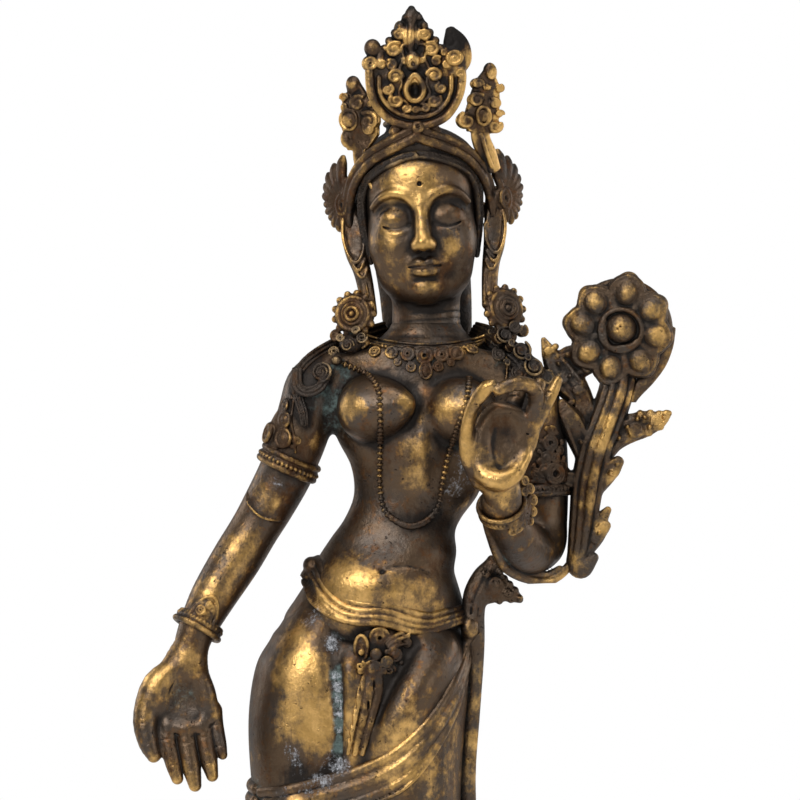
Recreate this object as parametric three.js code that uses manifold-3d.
// A standing Tara in patinated cast brass: crowned and jewelled, the hips swayed to the figure's right, the
// right hand lowered palm outward, the left hand raised beside a lotus, on an oval double lotus plinth.
// Millimetres, +Z up, the figure faces -Y, and the origin is the middle of the plinth's underside.
import * as THREE from 'three';
import { mergeVertices } from 'three/addons/utils/BufferGeometryUtils.js';
import Module from 'manifold-3d';

const wasm = await Module();
wasm.setup();

// Driving dimensions
const figureHeight = 617; // soles to the tip of the crown
const plinthHeight = 34;
const plinthWidth = 158;
const plinthDepth = 112;
const plinthRim = 3.2; // height of the plain foot and of the top slab
const plinthWaist = 9; // how far the waist is set in from the foot
const plinthPetals = 18; // in each of the two rings
const petalSwell = 4.6; // how far a petal stands out
const seatGap = 0.3; // between the soles and the plinth
const facetTolerance = 0.75;
const crownPlate = 4; // thickness of the crown's leaves
const chainBeads = 18;

// The figure is drawn on a canon of 617 parts from soles to crown tip. Every place and radius on it is in
// parts: x to the viewer's right, y away from the viewer, z up from the soles.
const canon = 617;
const part = figureHeight / canon;
const headCentre = [10.5, 0, 514];
const headTilt = THREE.MathUtils.degToRad(-4);

const brass = new THREE.MeshStandardMaterial({ color: 0x8a6a38, roughness: 0.42, metalness: 0.9 });
const darkBrass = new THREE.MeshStandardMaterial({ color: 0x6b5333, roughness: 0.5, metalness: 0.9 });

const X = new THREE.Vector3(1, 0, 0);
const Y = new THREE.Vector3(0, 1, 0);
const Z = new THREE.Vector3(0, 0, 1);
const vector = ([x, y, z]) => new THREE.Vector3(x, y, z);
const degrees = THREE.MathUtils.degToRad;

// Body sections: [centre x, centre y, z, half width, half depth], each a level ellipse.
const torsoSections = [
  [-19.5, 2, 284, 50, 33], [-15.8, 3, 300, 50.8, 35], [-12.5, 3, 314, 46.5, 33.5],
  [-10.5, 2, 326, 41.5, 31], [-8.8, 1.5, 336, 36.8, 28], [-8, 1, 346, 33, 25], [-4.2, 1, 356, 30.3, 22.5],
  [1.5, 1, 366, 29, 21.5], [8, 1, 378, 31, 22.5], [9.5, 1.5, 392, 34, 25], [8, 2, 406, 39.5, 26.5],
  [10, 3, 422, 46, 26.5], [11, 3.5, 434, 50, 24.5], [11.5, 4, 443, 45, 21.5], [12.5, 4, 450, 33, 18.5],
  [12.5, 3, 457, 21, 17],
];
const rightLegSections = [
  [-23, 5, 8, 12, 14], [-24, 4, 40, 14, 15], [-26, 2, 70, 17, 18], [-28, -2, 105, 19, 21],
  [-31, -5, 138, 20.5, 23.5], [-39, -4, 170, 22.5, 25.5], [-46, -2, 208, 24.5, 28.5],
  [-49.5, 0, 240, 25, 30.5], [-49.5, 2, 270, 25.5, 32.5], [-46, 3, 296, 25.2, 33.5], [-36.5, 4, 318, 20, 28],
  [-33, 4, 333, 13, 17],
];
const leftLegSections = [
  [23, 5, 8, 12, 14], [22, 3, 40, 14, 15], [20, -1, 70, 16.5, 17.5], [18, -7, 105, 18.5, 20.5],
  [15, -11, 138, 20, 23], [11, -10, 170, 21.5, 25], [6, -8, 208, 23.5, 27.5], [4.5, -6, 236, 24.5, 29.5],
  [5.5, -4, 262, 25, 31.5], [7.5, -1, 290, 26, 32], [5, 2, 311, 24, 29], [2, 2, 328, 14, 17],
];
const skirtSections = [
  [0, 3, 14, 43, 24], [0, 3, 24, 40, 22], [-1, 3, 42, 34.5, 19.5], [-4, 1, 78, 33, 19.5],
  [-7, -1, 120, 34, 20.5], [-13, -1, 165, 38, 24], [-18, 0, 208, 44, 29], [-20.5, 1, 250, 50, 34],
  [-20, 2, 290, 52.5, 36], [-17, 2, 306, 44, 30],
];

// A closed solid through rings of points, with a flat cap at each end unless the last ring meets the first.
function skin(rings, closed = false) {
  const count = rings[0].length;
  const points = rings.flat();
  const faces = [];
  for (let ring = 0; ring < rings.length - (closed ? 0 : 1); ring++) {
    for (let side = 0; side < count; side++) {
      const [here, onward] = [ring * count, ((ring + 1) % rings.length) * count];
      const next = (side + 1) % count;
      faces.push(here + side, here + next, onward + next, here + side, onward + next, onward + side);
    }
  }
  for (const [ring, flip] of closed ? [] : [[0, true], [rings.length - 1, false]]) {
    points.push(rings[ring].reduce((sum, p) => sum.add(p), new THREE.Vector3()).divideScalar(count));
    for (let side = 0; side < count; side++) {
      const ends = [ring * count + side, ring * count + ((side + 1) % count)];
      faces.push(points.length - 1, ...(flip ? ends.reverse() : ends));
    }
  }
  return new THREE.BufferGeometry().setFromPoints(points).setIndex(faces);
}

const throughPoints = (points, closed = false) =>
  new THREE.CatmullRomCurve3(points, closed, 'catmullrom', 0.5);

// A form carried through stations [x, y, z, half width, half depth]. Its sections lie level, or across the
// path with their depth towards depthWay.
function sweep(stations, { sides = 10, steps = 8, level = false, depthWay = Y, closed = false } = {}) {
  const centres = throughPoints(stations.map(vector), closed);
  const sizes = throughPoints(stations.map(([, , , a, b = a]) => new THREE.Vector3(a, b, 0)), closed);
  const rings = [];
  for (let step = 0; step < steps + (closed ? 0 : 1); step++) {
    const centre = centres.getPoint(step / steps);
    const size = sizes.getPoint(step / steps);
    const along = level ? Z : centres.getTangent(step / steps);
    const across = level ? X : new THREE.Vector3().crossVectors(depthWay, along).normalize();
    const deep = new THREE.Vector3().crossVectors(along, across).normalize();
    rings.push(Array.from({ length: sides }, (_, side) => {
      const angle = (side / sides) * 2 * Math.PI;
      return centre.clone()
        .addScaledVector(across, size.x * Math.cos(angle))
        .addScaledVector(deep, size.y * Math.sin(angle));
    }));
  }
  return skin(rings, closed);
}

// A round roll of one radius along a path.
const roll = (path, radius, options) =>
  sweep(path.map((p) => [...p.slice(0, 3), radius, radius]), { sides: 6, ...options });

// An egg with its own three radii, turned so that its z points along way.
function egg([x, y, z], [a, b, c], { way = Z, around = 8, up = 6 } = {}) {
  return new THREE.SphereGeometry(1, around, up)
    .rotateX(Math.PI / 2)
    .scale(a, b, c)
    .applyQuaternion(new THREE.Quaternion().setFromUnitVectors(Z, way.clone().normalize()))
    .translate(x, y, z);
}

// A flat disc with a raised middle, facing along way.
function rosette([x, y, z], radius, height, way, around = 12) {
  const profile = [[0, -height], [radius, -height], [radius, 0.2 * height], [radius * 0.5, 0.2 * height],
    [radius * 0.4, height], [0, height * 1.25]];
  return new THREE.LatheGeometry(profile.map(([r, h]) => new THREE.Vector2(r, h)), around)
    .rotateX(Math.PI / 2)
    .applyQuaternion(new THREE.Quaternion().setFromUnitVectors(Z, way.clone().normalize()))
    .translate(x, y, z);
}

const mirrored = (points) => [...points.map(([x, ...rest]) => [-x, ...rest]).reverse(),
  ...points.slice(points[0][0] ? 0 : 1)];
const moved = (geometries, matrix) => geometries.map((geometry) => geometry.applyMatrix4(matrix));

// The section of a form at height z, between the two stations around it.
function sectionAt(sections, z) {
  const above = Math.max(1, sections.findIndex((s) => s[2] >= z));
  const [low, high] = z > sections.at(-1)[2]
    ? [sections.at(-1), sections.at(-1)]
    : [sections[above - 1], sections[above]];
  const share = high === low ? 0 : THREE.MathUtils.clamp((z - low[2]) / (high[2] - low[2]), 0, 1);
  return low.map((value, i) => value + (high[i] - value) * share);
}

// How far forward the body's skin stands at (x, z): the least y of the forms there.
function frontOf(x, z) {
  const forms = [torsoSections, rightLegSections, leftLegSections, skirtSections];
  return Math.min(...forms.filter((form) => z >= form[0][2] && z <= form.at(-1)[2]).map((form) => {
    const [cx, cy, , a, b] = sectionAt(form, z);
    return cy - b * Math.sqrt(Math.max(0, 1 - ((x - cx) / a) ** 2));
  }));
}

// A path of [x, z] laid on the front of the body, standing lift proud of it.
const laidOn = (path, lift = 0) => path.map(([x, z, more = 0]) => [x, frontOf(x, z) - lift - more, z]);

function body() {
  const breast = (x, z, turn) => egg([x, -19.5, z], [18, 17, 17],
    { way: new THREE.Vector3(turn, -1, -0.1), around: 9, up: 6 });
  return [
    sweep(torsoSections, { sides: 14, steps: 12, level: true }),
    sweep([[12.5, 3, 448, 19, 18], [13, 2, 462, 17.8, 17], [13, 1, 480, 17.6, 17], [12, 2, 496, 18.5, 18]],
      { sides: 10, steps: 2, level: true }),
    breast(-14, 419, 0.2),
    breast(27, 418, 0.35),
    egg([-4, -14, 346], [21, 12, 15], { around: 7, up: 4 }),
    egg([-39, 3, 430], [17, 15, 15.5], { around: 8, up: 5 }),
    egg([59, 3, 429], [17, 15, 15], { around: 8, up: 5 }),
  ];
}

function legsAndSkirt() {
  const pleats = [[-20, 1], [0, 1], [20, 0.5]];
  return [
    sweep(rightLegSections, { sides: 9, steps: 6, level: true }),
    sweep(leftLegSections, { sides: 9, steps: 6, level: true }),
    sweep(skirtSections, { sides: 14, steps: 6, level: true }),
    ...pleats.map(([x, lean]) => roll(
      laidOn([[x, 14], [x * 0.9 + lean, 45], [x * 0.62 + lean, 95], [x * 0.4 - 5, 150]], -0.8),
      3, { steps: 2, sides: 4 })),
  ];
}

// The waist girdle's height round the hips: [degrees from the front towards the figure's left, z].
const girdleLine = [
  [-90, 340], [-68, 338], [-46, 331], [-23, 322.4], [-7, 319.4], [9, 320], [22, 317], [36, 315], [55, 317],
  [78, 318.5], [105, 318.5], [140, 323], [180, 329], [220, 335], [246, 339],
];

function girdle() {
  const rolls = [[2.6, 1.6], [-3, 2.4]];
  const bands = rolls.map(([rise, proud]) => sweep(girdleLine.map(([turn, z]) => {
    const [cx, cy, , a, b] = sectionAt(torsoSections, z + rise);
    const angle = degrees(turn);
    return [cx + (a + proud) * Math.sin(angle), cy - (b + proud) * Math.cos(angle), z + rise, 3.8, 3];
  }), { sides: 4, steps: 16, depthWay: Z, closed: true }));
  const knot = egg([-44.6, 0.4, 341], [4.4, 8, 6], { around: 7, up: 3 });
  return [...bands, knot];
}

function sash() {
  const swag = [[36, 309], [30, 286], [20, 265], [2.5, 250], [-20, 240], [-45, 234.5], [-66, 231]];
  const rolls = [[0, 4.6, 3], [-1, -1.8, 3.2], [-2, -8.2, 2.8]];
  const pendant = [[-12, 296], [-14.5, 280], [-17, 264], [-19.5, 249]];
  const boss = (x, z, a) => egg([x, frontOf(x, z) - 0.5, z], [a, 3.4, 4.4], { around: 5, up: 3 });
  return [
    ...rolls.map(([dx, dz, radius]) =>
      roll(laidOn(swag.map(([x, z], i) => [x + dx, z + (dz * Math.min(i + 1, 3)) / 3]), -0.4),
      radius, { steps: 7, sides: 4 })),
    sweep(laidOn(pendant, 0.6).map((p, i) => [...p, 5.2 - i * 0.5, 2.4]), { steps: 2, sides: 5 }),
    rosette([-10.5, frontOf(-10.5, 303) - 1, 303], 9.5, 2.4, new THREE.Vector3(0, -1, -0.12), 8),
    boss(-10.5, 291, 4.4),
    boss(-20, 304, 4),
    boss(0, 304, 4.6),
  ];
}

// The scarf that leaves the girdle at the figure's left hip in a loop and hangs down to the plinth.
function scarf() {
  return [
    sweep([[37, -6, 322, 5, 4], [37.4, -5, 300, 5, 3.4], [35.6, -3, 270, 5, 3.2], [33, -2, 235, 5, 3.2],
      [34.6, -1, 190, 5, 3.2], [37.5, 0, 140, 5.2, 3.4], [40, 1, 80, 5.6, 3.6], [43, 2, 14, 6.4, 4],
      [43.5, 2, -1, 6.6, 4]], { sides: 5, steps: 7 }),
    sweep([[35, -6, 314, 5, 5], [37, -6, 328, 5.5, 5], [42.5, -5, 338, 5.5, 5], [47, -4, 345, 3.5, 4],
      [48.5, -4, 348, 1.2, 2]], { sides: 5, steps: 4 }),
    sweep(
      [[43, -6, 334, 5.5, 5], [50, -6, 332, 5, 4.6], [56, -5.5, 327.5, 3.6, 3.4], [60.5, -5, 323.5, 2, 2]],
      { sides: 5, steps: 2 }),
  ];
}

function feet() {
  return [[-24, -1], [24, 1]].flatMap(([x, side]) => {
    const toes = [0, 1, 2, 3, 4].map((toe) => {
      const across = side * (-7.4 + toe * 3.9 + (toe ? 0.8 : 0));
      return egg([x + side * 2 + across, -31 + toe * 1.9, 2.6],
        [toe ? 2 : 3, toe ? 4.6 : 5.6, toe ? 2.8 : 3.4], { around: 5, up: 3 });
    });
    return [
      sweep([[x - side, 18, 5, 6, 6], [x, 8, 8, 9, 10], [x + side, -6, 7, 9.4, 9],
        [x + side * 1.6, -20, 4.5, 10.6, 5.4], [x + side * 2, -28, 3, 10, 3.6]],
      { sides: 7, steps: 4, depthWay: Z }),
      ...toes,
    ];
  });
}

function fingers(tables) {
  return tables.map((stations) =>
    sweep(stations.map(([x, y, z, r]) => [x, y, z, r, r]), { sides: 5, steps: stations.length - 1 }));
}

function loweredArm() {
  return [
    sweep([[-37, 3, 437, 12, 15], [-43, 2, 429, 14.5, 15], [-50.5, 3, 406, 14, 14.5],
      [-57.5, 4, 388, 13.6, 14], [-66, 5, 372, 12.8, 13.4], [-73, 5, 360, 12.3, 13],
      [-82, 2, 345, 12.4, 12.6], [-93, -3, 327, 11.3, 11.5], [-101, -7, 311, 9.3, 9],
      [-104.5, -9, 302, 8.6, 7.4]], { sides: 10, steps: 8 }),
    sweep([[-104, -9, 304, 8.4, 7], [-106, -10, 292, 11.2, 7], [-107, -11, 279, 14.2, 6.5],
      [-105.8, -12, 268, 15.2, 6], [-105, -13, 258, 14, 4.6]], { sides: 8, steps: 4 }),
    ...fingers([
      [[-113, -10, 290, 5], [-121, -11, 282, 7], [-126.3, -14, 266, 6], [-126.3, -16, 254, 5],
        [-123.8, -18, 246.5, 3.2]],
      [[-117, -12, 266, 4.4], [-116.8, -14, 258, 4.4], [-114.3, -16, 246, 4], [-111.8, -17, 236.5, 2.8]],
      [[-107, -12, 266, 5], [-106.3, -14, 257, 5], [-104.2, -17, 244, 4.5], [-102, -18, 233.5, 3.2]],
      [[-98, -12, 268, 4.6], [-97.6, -14, 259, 4.6], [-95.5, -16, 247, 4.2], [-93.6, -17, 238, 3]],
      [[-92, -11, 272, 3.8], [-91, -12, 265, 3.8], [-89, -14, 255, 3.3], [-87.4, -15, 248.5, 2.4]],
    ]),
  ];
}

function raisedArm() {
  return [
    sweep([[58, 3, 436, 12, 14.5], [64, 2, 427, 14.5, 15], [69.5, 4, 408, 13.6, 14.4],
      [71.5, 6, 388, 13, 13.6], [71.5, 6, 366, 12.4, 13], [68.5, 3, 352, 12, 13]], { sides: 10, steps: 5 }),
    sweep([[70, 5, 354, 12.4, 12], [64, -8, 350.5, 12.4, 12], [58, -24, 356, 11.4, 11.2],
      [52.5, -40, 367, 9.8, 9.6], [50, -51, 376, 8.8, 8.2]], { sides: 10, steps: 5, depthWay: Z }),
    sweep([[50.5, -48, 372, 8.8, 8], [49.6, -55, 386, 11.8, 8], [50, -58, 396, 14.6, 6.8],
      [53, -60, 406, 16, 6], [56, -61, 414, 15.4, 5]], { sides: 8, steps: 4, depthWay: Y }),
    ...fingers([
      [[43, -57, 384, 7], [38.8, -61, 392, 7.4], [36, -65, 402, 6], [36.6, -70, 413, 5.2],
        [40, -75, 421.5, 4.4], [44, -79, 425.5, 3.2]],
      [[46, -60, 411, 5], [46, -61, 417, 5], [45.6, -67, 426.5, 4.6], [44.6, -75, 429, 4.2],
        [44, -80, 426.5, 3.2]],
      [[55, -60, 411, 5], [57.5, -61, 417, 4.8], [60, -66, 426, 4.5], [59, -74, 428.5, 4.1],
        [56.5, -79, 424.5, 3.2]],
      [[63, -59, 410, 4.8], [65, -60, 418, 4.6], [68, -63, 428, 4.2], [68, -69, 432, 3.6]],
      [[67.5, -59, 406, 4.2], [70, -60, 414, 4.4], [73.5, -61, 424, 4], [76.5, -62, 431, 2.9]],
    ]),
    roll([[40, -47, 374], [44, -37, 359], [50, -24, 344.5], [59.5, -14, 337.5], [72, -6, 334.5],
      [80, -3, 338], [87.5, 0, 346]], 2.6, { steps: 6, sides: 4 }),
  ];
}

// A band round a limb, standing proud of it: centre, way along the limb, and radii across it.
function band([x, y, z], way, [a, b], width, spin = 0) {
  const profile = [[0, -0.5], [1.1, -0.5], [1.14, 0.25], [1.02, 0.5], [0, 0.5]];
  return new THREE.LatheGeometry(profile.map(([r, h]) => new THREE.Vector2(r, h * width)), 10)
    .rotateX(Math.PI / 2)
    .rotateZ(spin)
    .scale(a, b, 1)
    .applyQuaternion(new THREE.Quaternion().setFromUnitVectors(Z, vector(way).normalize()))
    .translate(x, y, z);
}

// The pointed crest of gems that stands on an armlet's band, climbing the limb from foot to tip.
function crest(foot, tip, out, size) {
  const climb = vector(tip).sub(vector(foot));
  const gems = [[0.05, 1], [0.55, 0.72]];
  return [
    sweep([[...foot, size * 1.3, size * 0.5],
      [...vector(foot).addScaledVector(climb, 0.5).toArray(), size * 0.9, size * 0.5],
      [...tip, size * 0.25, size * 0.4]], { sides: 4, steps: 2, depthWay: out }),
    ...gems.map(([share, scale]) =>
      egg(vector(foot).addScaledVector(climb, share).addScaledVector(out, size * 0.35).toArray(),
      [size * scale, size * scale, size * 0.6], { way: out, around: 5, up: 3 })),
  ];
}

function armJewels() {
  const loweredOut = new THREE.Vector3(-0.35, -0.93, -0.1).normalize();
  const raisedOut = new THREE.Vector3(0.25, -0.97, 0).normalize();
  return [
    band([-55.5, 3.5, 393.5], [-8, 1, -17.5], [14.4, 14.8], 7),
    ...crest([-60, -10, 397], [-58.5, -9, 425], loweredOut, 5),
    band([-99.5, -6.2, 314], [-9, -4, -16.5], [11.8, 11], 6.5),
    ...crest([-100, -16, 318], [-97, -13.5, 329], loweredOut, 4),
    band([71.5, 6, 383], [0.6, 0.5, -18], [14, 14.4], 7),
    ...crest([77, -8, 387], [78, -7.5, 408], raisedOut, 4.6),
    band([50.8, -46.5, 371.8], [-2.6, -11, 9], [10, 9.8], 6),
  ];
}

function necklace() {
  const line = [[-14, 452, 0], [-8, 449, 0], [0, 446.5, 0], [12, 445, 0], [24, 446.5, 0], [32, 449, 0],
    [38, 452, 0]];
  const beadLine = line.slice(1, -1);
  const gem = (x, z, size) => egg([x, frontOf(x, z) - size * 0.25, z], [size, size * 0.7, size],
    { around: 5, up: 3 });
  return [
    sweep([[12.5, 2, 452, 25, 21], [12.5, 1.6, 455, 24, 20.5], [12.5, 1.5, 458, 20, 18]],
      { sides: 12, steps: 2, level: true }),
    ...beadLine.map(([x, z]) => gem(x, z - 3, 3.4)),
    gem(12, 437, 3.8),
  ];
}

// The long chain that falls from both shoulders over the breasts to the belly, in [x, z].
const chainLine = [
  [-27, 444], [-17, 438], [-11, 429], [-10, 413], [-10, 396], [-9.5, 380], [-5, 367.5], [7, 361.5],
  [16.5, 367], [23, 380], [26, 396], [31, 414], [36, 430], [40, 443],
];

function breastFront(x, z) {
  const breasts = [[-14, -20, 419, 18], [27, -19, 418, 17.5]];
  return Math.min(frontOf(x, z), ...breasts.map(([cx, cy, cz, r]) => {
    const inside = r * r - (x - cx) ** 2 - (z - cz) ** 2;
    return inside > 0 ? cy - Math.sqrt(inside) * 0.95 : 0;
  }));
}

function chain() {
  const line = throughPoints(chainLine.map(([x, z]) => new THREE.Vector3(x, breastFront(x, z) - 1.1, z)));
  const stations = Array.from({ length: chainBeads + 1 }, (_, bead) => line.getPoint(bead / chainBeads));
  return [sweep(stations.map((p, bead) => [p.x, p.y, p.z, bead % 2 ? 2 : 1.3, bead % 2 ? 2 : 1.4]),
    { sides: 4, steps: chainBeads })];
}

// The head, in its own frame about the middle of the skull: chin at -41, crown of the skull at 44.5.
function head() {
  const skull = [
    [0, -17, -41, 5, 5], [0, -15.5, -38.5, 10, 9], [0, -12, -31, 16.5, 15.5], [0, -8, -21, 22, 22.5],
    [0, -5, -9, 25.8, 27.5], [0, -2, 4, 28, 31.5], [0, 0, 17, 28.8, 33.5], [0, 1, 28, 27, 31.5],
    [0, 2, 37, 22, 26], [0, 2.5, 44.5, 8, 9],
  ];
  const hair = [
    [0, 9, -12, 28, 24], [0, 6, 6, 31.5, 30], [0, 5, 20, 32, 32.5], [0, 4, 30, 30, 33],
    [0, 4, 38, 25.5, 29.5], [0, 4, 44, 17.5, 21], [0, 4, 48, 8, 10],
  ];
  const hairline = [[0, -31.8, 33.5], [10, -30.5, 31.5], [19.5, -25.5, 26.5], [26.5, -18, 17],
    [29.5, -10.5, 3], [28, -8, -14]];
  const nape = [[0, 22, 12, 23, 12], [-1, 23, -12, 22, 11], [-2, 21, -34, 22, 9], [0, 20, -58, 25, 8],
    [2, 21, -74, 18, 5]];
  const topknot = [
    [-1, 5, 42, 16, 16], [-1, 5, 49, 12.5, 12.5], [-1.5, 5, 54, 12, 12], [-2, 5, 64, 15, 15],
    [-2.5, 5, 76, 14, 14], [-3, 5, 88, 9, 9], [-3.5, 5, 97, 2, 2],
  ];
  return [
    sweep(skull, { sides: 12, steps: 8, level: true }),
    sweep(hair, { sides: 10, steps: 5, level: true }),
    sweep(nape, { sides: 7, steps: 3, level: true }),
    sweep(topknot, { sides: 7, steps: 6, level: true }),
    roll(mirrored(hairline), 2.7, { steps: 10, sides: 4 }),
  ];
}

function face() {
  const both = (make) => [make(1), make(-1)];
  return [
    sweep([[0.1, -31.5, 10, 1.6, 2], [0.1, -34, 2, 2, 2.4], [0.1, -36.6, -8, 2.9, 3.2],
      [0.1, -38, -14, 3.8, 3.4], [0.1, -36.5, -17, 3, 2.2]],
      { sides: 5, steps: 4 }),
    ...both((s) => egg([s * 3.8, -34.2, -14.6], [2.6, 3, 2.4], { around: 5, up: 3 })),
    ...both((s) => roll([[s * 2.4, -32.4, 8.5], [s * 9, -32.2, 12.6], [s * 17, -28, 12],
      [s * 23.5, -20.6, 7]], 1.1, { steps: 3, sides: 4 })),
    ...both((s) => egg([s * 11.6, -27.8, 1.6], [6.8, 4.6, 4.4], { around: 6, up: 4 })),
    sweep([[-7.6, -27.6, -24.6, 0.8, 0.8], [-0.1, -31.2, -23.6, 1.8, 1.8], [7.6, -27.6, -24.6, 0.8, 0.8]],
      { sides: 4, steps: 4, depthWay: Z }),
    sweep([[-5.6, -27.1, -26.7, 0.9, 0.9], [-0.15, -29.6, -27.9, 2.3, 2.3], [5.6, -27.1, -26.7, 0.9, 0.9]],
      { sides: 4, steps: 4, depthWay: Z }),
    egg([0.1, -24.5, -35], [7, 6.4, 5.6], { around: 7, up: 3 }),
  ];
}

function ears() {
  return [
    sweep([[-28, 0, 8, 3, 5], [-33, -1, -2, 4, 7], [-31, -2, -16, 3.8, 5], [-27, -3, -30, 3.4, 3.6],
      [-25, -4, -40, 2.8, 3]], { sides: 5, steps: 3 }),
    sweep([[30, 0, 8, 3, 5], [36.5, -1, -2, 4, 7], [37, -2, -16, 3.8, 5], [35, -3, -30, 3.4, 3.6],
      [34, -4.5, -40, 2.8, 3]], { sides: 5, steps: 3 }),
  ];
}

// A crown leaf in its own frame: a plate in an outline of [across, up], with its gems in front of it at -y.
function crownLeaf(outline, gems) {
  const shape = new THREE.Shape(outline.map(([u, v]) => new THREE.Vector2(u, v)));
  const plate = new THREE.ExtrudeGeometry(shape,
    { depth: crownPlate / part, bevelEnabled: false, steps: 1 })
    .rotateX(Math.PI / 2)
    .translate(0, crownPlate / part / 2, 0);
  return [plate, ...gems.map(([u, v, a, b]) =>
    egg([u, -crownPlate / part / 2 + 0.4, v], [a, 3.6, b], { around: 7, up: 3 }))];
}

const centralOutline = [
  [-8, 1], [0, -1], [8, 1], [16, 5], [22, 12], [25.5, 21], [27, 32], [26, 39], [23, 44], [18.5, 49.5],
  [17, 43], [14, 39.5], [11.5, 44], [9.5, 49], [6.5, 53], [4.5, 58], [1.5, 61], [-1, 62], [-3.5, 60],
  [-5.5, 56], [-8, 51], [-10.5, 47.5], [-12.5, 42], [-15, 39], [-17.5, 40], [-19.5, 43.5], [-22, 43.5],
  [-24, 39], [-25.5, 31], [-25, 21], [-21.5, 12], [-16, 5],
];
const sideOutline = [
  [-4, -12], [4, -12], [5, -2], [10, 2], [11, 9], [10, 18], [10.5, 25], [7, 27], [4, 35], [1, 40], [-1, 40],
  [-3.5, 35], [-6, 28], [-9.5, 24], [-9, 17], [-10.5, 9], [-9, 2], [-5, -2],
];

function crown() {
  const arch = [[0, -34, 46.5], [12, -31.5, 41.5], [25, -22.5, 32.5], [33.5, -12, 20], [37, -3.5, 5],
    [36, 5, -8]];
  const rim = [[-22.5, 37], [-23, 24], [-16, 9], [0, 3], [16, 9], [23, 24], [23.5, 37]];
  const central = [
    ...crownLeaf(centralOutline, [[0, 20, 7, 9], [-0.5, 42, 4.4, 8]]),
    roll(rim.map(([u, v]) => [u, -crownPlate / part / 2 - 0.3, v]), 2, { steps: 7, sides: 4 }),
  ];
  const side = () => crownLeaf(sideOutline, [[0, 11, 5.4, 7.6]]);
  const set = ({ turn = 0, lean = 4, roll: tip = 0, wide = 1, tall = 1, at }) =>
    new THREE.Matrix4().makeTranslation(...at)
    .multiply(new THREE.Matrix4().makeRotationFromEuler(new THREE.Euler(degrees(lean), degrees(tip),
      degrees(turn), 'ZYX')))
    .scale(new THREE.Vector3(wide, 1, tall));
  const fan = (s) => {
    const hub = vector([s * 39.5 + 1.5, -3.2, 12.3]);
    const out = new THREE.Vector3(s * 0.74, -0.67, 0);
    const pleats = [-45, 8, 60].map((turn, i) => {
      const way = new THREE.Vector3(s * 0.67 * Math.sin(degrees(turn)), 0.74 * Math.sin(degrees(turn)),
        Math.cos(degrees(turn)));
      const at = (reach) => hub.clone().addScaledVector(way, reach).toArray();
      return sweep([[...at(1), 4, 2], [...at(12), 6.4, 2.4 + i * 0.3], [...at(20), 3, 1.4]],
        { sides: 4, steps: 2, depthWay: out });
    });
    return [
      ...pleats,
      egg(hub.clone().addScaledVector(out, 2).toArray(), [5.4, 5.4, 3.4], { way: out, around: 7, up: 3 }),
      sweep([[s * 34, -2, 9, 4, 4], [s * 38, -3, 1, 4, 4], [s * 37, -2, -11, 3.4, 3.4],
        [s * 33, -2, -20, 2.4, 2.4]], { sides: 4, steps: 3 }),
    ];
  };
  const backBand = [[-37, 4, -2], [-30, 22, 6], [-16, 33, 12], [0, 37, 13], [16, 33, 12], [30, 22, 6],
    [37, 4, -2]];
  return [
    sweep(mirrored(arch).map((p) => [...p, 2.8, 4.2]), { sides: 4, steps: 12, depthWay: Z }),
    sweep(backBand.map((p) => [...p, 1.8, 3]), { sides: 4, steps: 7, depthWay: Z }),
    ...moved(central, set({ roll: 3.5, tall: 0.94, at: [0, -34.5, 46] })),
    ...moved(side(), set({ turn: -30, wide: 1.1, tall: 0.94, at: [-27, -20, 34] })),
    ...moved(side(), set({ turn: 26, wide: 1.25, tall: 0.96, at: [31, -20, 39.5] })),
    ...fan(-1),
    ...fan(1),
  ];
}

const earrings = () => [
  rosette([-22.5, -5, 467.5], 11, 3, new THREE.Vector3(-0.35, -0.93, 0.05), 9),
  rosette([51, -5, 470], 12, 3, new THREE.Vector3(0.62, -0.75, 0.2), 9),
];

function shoulderLocks() {
  return [
    sweep([[-8, 18, 458, 7, 5], [-24, 11, 449, 7, 5], [-40, 3, 445, 6, 4.6], [-52.5, -4, 434, 5, 4],
      [-55, -9, 423, 4, 3.4], [-50.5, -12, 413, 3.6, 3], [-49.5, -13, 405, 1.6, 1.6]],
      { sides: 4, steps: 6 }),
    sweep([[-53, -5, 430, 3.4, 3], [-46, -11, 427, 3, 2.6], [-39, -14.5, 430, 3.4, 2.6],
      [-37, -16, 436, 4, 2.6]], { sides: 4, steps: 3 }),
    sweep([[38, 14, 458, 7, 4.4], [46, 2, 452, 8, 4.4], [55, -6, 445, 8.4, 4.6], [64, -9, 437, 8, 4.4],
      [72, -8, 430, 4.4, 3.4]], { sides: 5, steps: 4 }),
  ];
}

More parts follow.
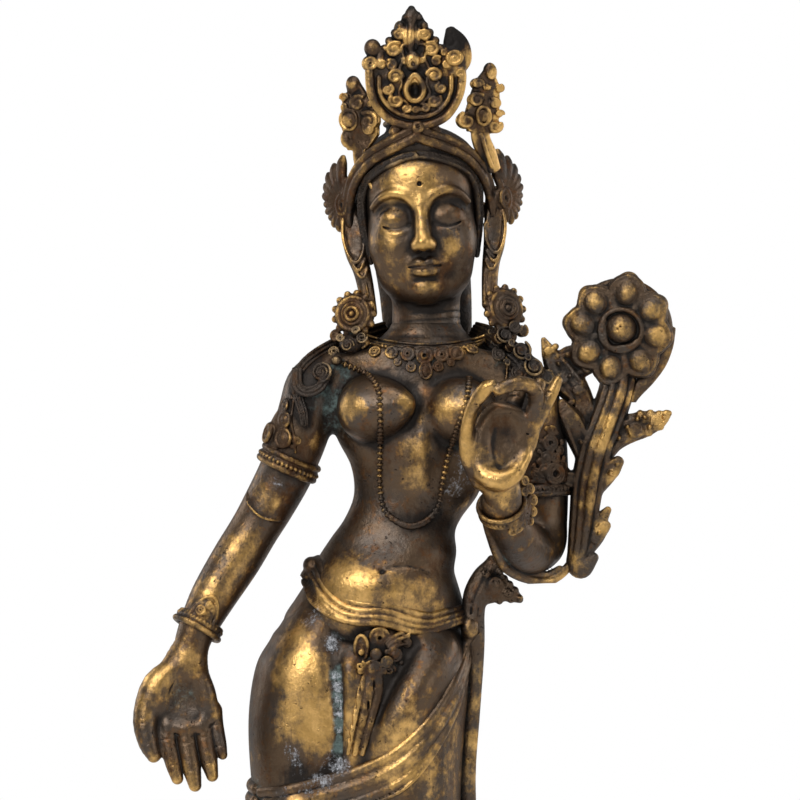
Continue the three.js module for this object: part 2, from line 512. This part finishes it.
// The lotus beside the shoulder: eight petals round a seed head, on a stem with curling leaves.
function lotus() {
  const facing = new THREE.Vector3(-0.12, -1, -0.1).normalize();
  const turn = new THREE.Quaternion().setFromUnitVectors(Z, facing);
  const centre = vector([108.5, -5, 461.5]);
  const petals = Array.from({ length: 8 }, (_, i) =>
    egg([17.6, 0, 1.7], [8.4, 7.8, 4.8], { around: 7, up: 3 })
      .rotateZ(degrees(24 + i * 45))
      .applyQuaternion(turn)
      .translate(...centre.toArray()));
  const cupProfile = [[0, -9], [10, -8], [26, 1], [25, 3], [0, 3]];
  const cup = new THREE.LatheGeometry(cupProfile.map(([r, h]) => new THREE.Vector2(r, h)), 16)
    .rotateX(Math.PI / 2)
    .applyQuaternion(turn)
    .translate(...centre.toArray());
  const leaf = (path) => sweep(path, { sides: 4, steps: path.length });
  return [
    cup,
    ...petals,
    egg(centre.clone().addScaledVector(facing, 4).toArray(), [7, 7, 5.4],
      { way: facing, around: 7, up: 4 }),
    sweep([[108.5, 1, 448, 7, 5], [106, 0, 430, 6.6, 6], [101.6, 0, 413, 8.4, 6.4], [96.6, 0, 397, 8, 6.4],
      [93, 0, 377, 7.8, 6], [91, 0, 357, 6.2, 5.2], [88, 0, 346, 5.4, 5], [85, -1, 340, 4, 4]],
      { sides: 7, steps: 7 }),
    leaf([[103, 1, 399, 4, 3], [112, 0, 408.5, 6.4, 2.6], [122, -2, 413, 6.4, 2.4],
      [134.5, -4, 418.5, 1.4, 1.4]]),
    leaf([[98, 0, 374, 3.6, 3], [103, -1, 385, 5, 2.4], [110, -3, 395, 1.8, 1.2]]),
    leaf([[95, 0, 349, 3, 3], [100, -2, 360, 4.6, 2.6], [104, -4, 370, 1.6, 1.2]]),
    leaf([[97, 0, 400, 3.6, 3], [93, 0, 415, 4, 3], [84, 0, 435, 7.6, 3], [72, 2, 455, 1.4, 1]]),
    leaf([[94, 0, 394, 2.6, 2.6], [89, -1, 404, 3.4, 3.2], [83.5, -3, 418, 5, 4]]),
    leaf([[108, 2, 421, 3, 2.6], [121, 3, 428, 4, 2.4], [133, 3, 440, 4, 2.2], [137, 1, 459, 1.4, 1.4]]),
    leaf([[84, 3, 430, 3, 2.6], [92, 2, 440, 6, 2.6], [96, 0, 452, 5, 2.4]]),
    roll([[74, 3, 383], [95, 1, 381]], 3.2, { steps: 1, sides: 5 }),
  ];
}

// One closed solid of a three.js geometry, turned to face outwards.
function toSolid(geometry) {
  const bare = new THREE.BufferGeometry()
    .setAttribute('position', geometry.getAttribute('position'))
    .setIndex(geometry.index);
  const merged = mergeVertices(bare, 1e-4);
  const faces = [];
  const index = merged.index.array;
  for (let i = 0; i < index.length; i += 3) {
    const [a, b, c] = [index[i], index[i + 1], index[i + 2]];
    if (a !== b && b !== c && c !== a) faces.push([a, b, c]);
  }
  const build = (triangles) => new wasm.Manifold(new wasm.Mesh({
    numProp: 3,
    vertProperties: merged.attributes.position.array,
    triVerts: new Uint32Array(triangles.flat()),
  }));
  const made = build(faces);
  return made.volume() > 0 ? made : build(faces.map(([a, b, c]) => [a, c, b]));
}

function toMesh(solid, name, material) {
  const { vertProperties, triVerts } = solid.getMesh();
  const geometry = new THREE.BufferGeometry()
    .setAttribute('position', new THREE.BufferAttribute(vertProperties, 3))
    .setIndex(new THREE.BufferAttribute(triVerts, 1));
  geometry.computeVertexNormals();
  const mesh = new THREE.Mesh(geometry, material);
  mesh.name = name;
  return mesh;
}

// The outer body of a solid, without the hollows that its forms close off between them.
const outerBody = (solid) => solid.decompose().reduce((most, piece) =>
  (piece.volume() > most.volume() ? piece : most));

// One solid of many forms, thinned to the facets that matter at a given tolerance.
function joined(geometries, tolerance) {
  const whole = geometries.map(toSolid).reduce((sum, solid) => sum.add(solid));
  return outerBody(outerBody(whole).asOriginal().simplify(tolerance));
}

function taraFigure() {
  const tilt = new THREE.Matrix4()
    .makeTranslation(...headCentre)
    .multiply(new THREE.Matrix4().makeRotationY(headTilt));
  const forms = [
    ...body(), ...legsAndSkirt(), ...girdle(), ...sash(), ...scarf(), ...feet(),
    ...loweredArm(), ...raisedArm(), ...armJewels(), ...necklace(), ...chain(),
    ...moved([...head(), ...face(), ...ears(), ...crown()], tilt),
    ...earrings(), ...shoulderLocks(), ...lotus(),
  ];
  const cast = joined(forms.map((form) => form.scale(part, part, part)), facetTolerance);
  const below = new THREE.BoxGeometry(figureHeight, figureHeight, plinthHeight)
    .translate(0, 0, -plinthHeight / 2);
  const figure = toMesh(cast.subtract(toSolid(below)), 'tara_figure', brass);
  figure.position.z = plinthHeight + seatGap;
  return figure;
}

// The oval double lotus: a ring of petals opening down and one opening up, meeting at the waist between a
// plain foot and a plain slab.
function lotusPlinth() {
  const halfWidth = plinthWidth / 2;
  const share = plinthDepth / plinthWidth;
  const middle = plinthHeight / 2;
  const foot = halfWidth - plinthRim / 2;
  const waist = foot - plinthWaist - petalSwell;
  // [radius, height, how much of the petals' swell shows]
  const profile = [
    [halfWidth, 0, 0], [halfWidth, plinthRim, 0], [foot - petalSwell, plinthRim + 3, 1],
    [waist, middle - 1, 0.3], [waist, middle + 1, 0.3],
    [foot - petalSwell, plinthHeight - plinthRim - 3, 1], [foot - 1.5, plinthHeight - plinthRim, 0],
    [foot - 1.5, plinthHeight, 0],
  ];
  const lobe = [0, 0.9, 0.9];
  const sides = plinthPetals * lobe.length;
  const rings = profile.map(([radius, height, swell]) => Array.from({ length: sides }, (_, side) => {
    const angle = (side / sides) * 2 * Math.PI;
    const reach = radius + swell * petalSwell * lobe[side % lobe.length];
    return new THREE.Vector3(reach * Math.cos(angle), reach * share * Math.sin(angle), height);
  }));
  return toMesh(toSolid(skin(rings)), 'lotus_plinth', darkBrass);
}

const tara = new THREE.Group();
tara.name = 'tara';
tara.add(lotusPlinth(), taraFigure());

export default tara;
